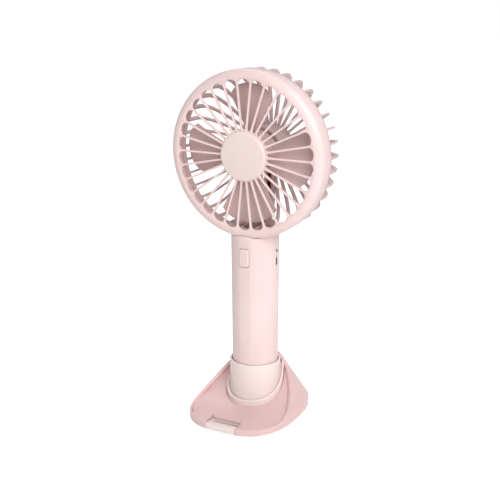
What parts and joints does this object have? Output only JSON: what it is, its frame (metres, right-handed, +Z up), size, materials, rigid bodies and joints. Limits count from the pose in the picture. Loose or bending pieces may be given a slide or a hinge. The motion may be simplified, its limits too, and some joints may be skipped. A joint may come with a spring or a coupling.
{
  "type": "handheld electric fan",
  "caption": "Rechargeable handheld fan with a round caged head and a tapered handle, standing in the cup of a small oval scooped base.",
  "frame": {"origin": "under the handle's axis, on the underside of the base's rubber pad, where the stand meets the table", "axes": "+Z up along the handle, front of the fan towards -Y, +X to the right seen from the front"},
  "size_m": [0.1036, 0.0828, 0.2203],
  "materials": {
    "shell_pink": "satin moulded ABS, pale pink",
    "cap_pink": "smooth glossy cap, very pale pink",
    "cage_pink": "satin moulded ABS, pale pink",
    "blade_rose": "dusty rose blades, satin",
    "button_pink": "satin button",
    "skirt_rose": "satin moulded ABS, dusty pink",
    "cup_pink": "glossy pale pink cup and base plate",
    "rubber_dark": "matt foam rubber",
    "plastic_black": "matt black moulding",
    "board_green": "solder mask",
    "cell_blue": "shrink sleeve over the cell can",
    "steel": "plated steel",
    "magnet_grey": "matt ferrite",
    "copper": "enamelled copper",
    "brass": "sintered bronze",
    "lens_clear": "frosted clear light guide",
    "lead_red": "insulation",
    "lead_black": "insulation"
  },
  "bodies": {
    "base": {"base_skirt": "skirt_rose", "base_deck": "skirt_rose", "base_cup": "cup_pink", "base_plate": "cup_pink", "base_pad": "rubber_dark", "base_screw_1": "steel", "base_screw_2": "steel", "base_screw_3": "steel"},
    "fan": {"front_grille": "shell_pink", "grille_cap": "cap_pink", "rear_cage": "cage_pink", "rear_hub_cap": "cap_pink", "motor_can": "steel", "motor_end_bell": "plastic_black", "motor_bush_front": "brass", "motor_bush_rear": "brass", "motor_magnet_left": "magnet_grey", "motor_magnet_right": "magnet_grey", "motor_brush_left": "copper", "motor_brush_right": "copper", "handle_front_shell": "shell_pink", "handle_rear_shell": "shell_pink", "handle_end_cap": "shell_pink", "handle_screw": "steel", "neck_screw": "steel", "switch_body": "plastic_black", "control_board": "board_green", "charging_port": "steel", "light_pipe": "lens_clear", "battery_cell": "cell_blue", "battery_cradle": "plastic_black", "battery_contact_top": "steel", "battery_contact_bottom": "steel", "motor_lead_red": "lead_red", "motor_lead_black": "lead_black"},
    "impeller": {"impeller": "blade_rose", "motor_shaft": "steel", "motor_armature": "steel", "motor_winding_1": "copper", "motor_winding_2": "copper", "motor_winding_3": "copper", "motor_commutator": "copper"},
    "button": {"power_button": "button_pink", "switch_plunger": "plastic_black"}
  },
  "joints": [
    {"name": "fan_lift", "type": "slide", "parent": "base", "child": "fan", "axis": [0, 0, 1], "range_m": [0, 0.03]},
    {"name": "impeller_spin", "type": "hinge", "parent": "fan", "child": "impeller", "pos_m": [0, 0, 0.1685], "axis": [0, 1, 0], "continuous": true},
    {"name": "button_press", "type": "slide", "parent": "fan", "child": "button", "axis": [0, 1, 0], "range_m": [0, 0.0006], "stiffness_N_per_m": 400}
  ]
}
